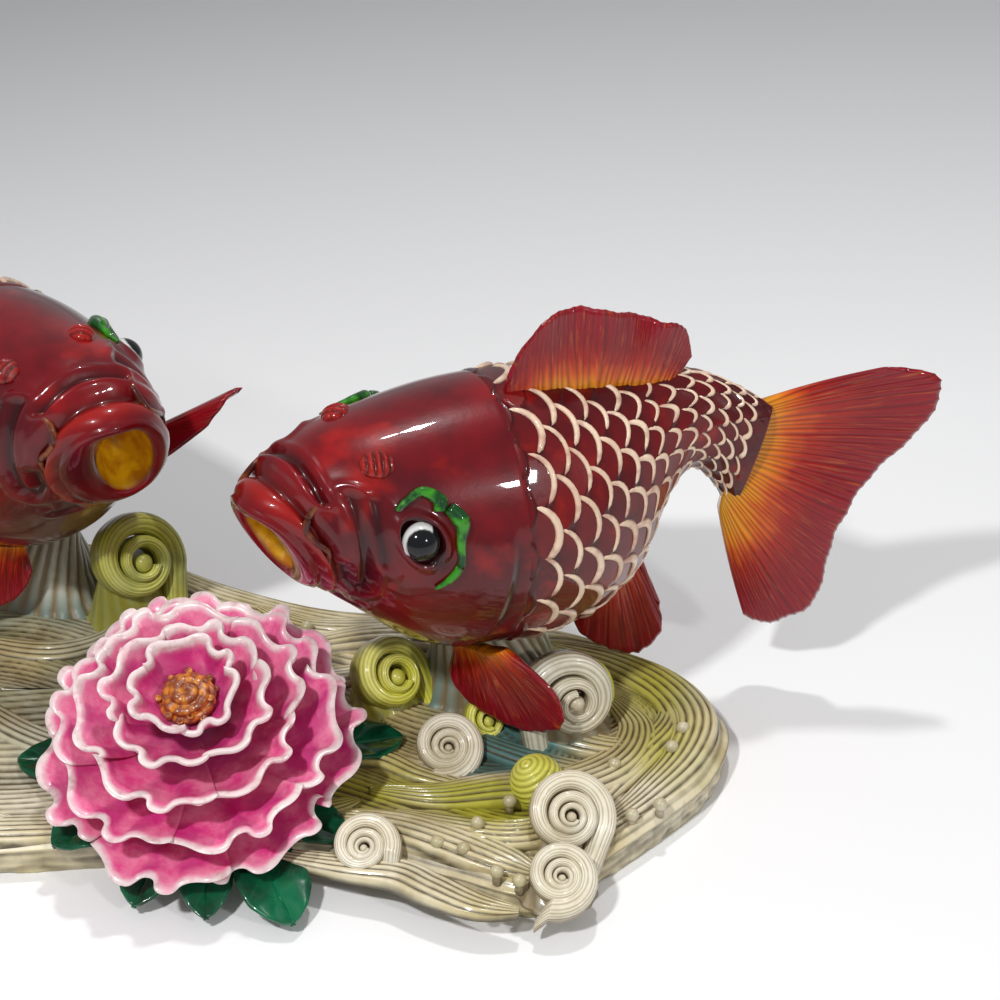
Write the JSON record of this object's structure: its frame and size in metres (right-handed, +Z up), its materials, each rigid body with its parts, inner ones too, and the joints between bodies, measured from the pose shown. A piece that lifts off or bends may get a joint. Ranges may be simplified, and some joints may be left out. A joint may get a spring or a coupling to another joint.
{
  "type": "fish figurine",
  "caption": "Ornament of two glossy red carp arching over a sculpted wave base with coiled crests, and a ruffled pink peony with leaves between them.",
  "frame": {"origin": "on the flat underside of the base, under the middle of its length and depth", "axes": "+Z up, +X along the base towards the tail of the right carp, -Y towards the front"},
  "size_m": [0.4641, 0.2494, 0.1623],
  "materials": {
    "barbel_brown": "glossy enamel over cast resin",
    "bead_cream": "glossy enamel over cast resin",
    "carp_red": "glossy enamel over cast resin",
    "curl_yellow": "glossy enamel over cast resin",
    "eye_glass": "glossy enamel over cast resin",
    "fin_red": "glossy enamel over cast resin",
    "leaf_green": "glossy enamel over cast resin",
    "petal_pink": "glossy enamel over cast resin",
    "pin_steel": "plain drawn steel",
    "stamen_amber": "glossy enamel over cast resin",
    "trim_green": "glossy enamel over cast resin",
    "wave_cream": "glossy enamel over cast resin",
    "wave_water": "glossy enamel over cast resin"
  },
  "bodies": {
    "root": {"base_plinth": "wave_water", "bud_yellow": "curl_yellow", "carp_left_anal_fin": "fin_red", "carp_left_barbels": "barbel_brown", "carp_left_body": "carp_red", "carp_left_brow_scrolls": "trim_green", "carp_left_dorsal_fin": "fin_red", "carp_left_eyes": "eye_glass", "carp_left_nostrils": "carp_red", "carp_left_pectoral_far": "fin_red", "carp_left_pectoral_near": "fin_red", "carp_left_tail_fin": "fin_red", "carp_right_anal_fin": "fin_red", "carp_right_barbels": "barbel_brown", "carp_right_body": "carp_red", "carp_right_brow_scrolls": "trim_green", "carp_right_dorsal_fin": "fin_red", "carp_right_eyes": "eye_glass", "carp_right_nostrils": "carp_red", "carp_right_pectoral_far": "fin_red", "carp_right_pectoral_near": "fin_red", "carp_right_tail_fin": "fin_red", "crest_curl_left": "wave_cream", "crest_curl_left_low": "wave_cream", "crest_curl_right": "wave_cream", "crest_left": "wave_cream", "crest_right": "wave_cream", "curl_olive_right": "curl_yellow", "curl_yellow_large": "curl_yellow", "curl_yellow_small": "curl_yellow", "foam_beads": "bead_cream", "leaf_back": "leaf_green", "leaf_front": "leaf_green", "leaf_front_large": "leaf_green", "leaf_front_left": "leaf_green", "leaf_front_right": "leaf_green", "leaf_left": "leaf_green", "leaf_left_front": "leaf_green", "leaf_right": "leaf_green", "peony_core": "stamen_amber", "peony_stem_pin": "pin_steel", "petals_fourth": "petal_pink", "petals_inner": "petal_pink", "petals_outer": "petal_pink", "petals_second": "petal_pink", "petals_third": "petal_pink", "scroll_left": "wave_cream", "scroll_left_front": "wave_cream", "scroll_lower": "wave_cream", "scroll_middle": "wave_cream", "scroll_upper": "wave_cream", "stamens": "stamen_amber", "support_pin_left": "pin_steel", "support_pin_right": "pin_steel", "water_band_back": "wave_water", "water_band_front": "wave_water", "water_band_left": "wave_water", "water_band_left_back": "wave_water", "water_band_middle": "wave_water", "water_band_rim": "wave_water"}
  },
  "joints": []
}
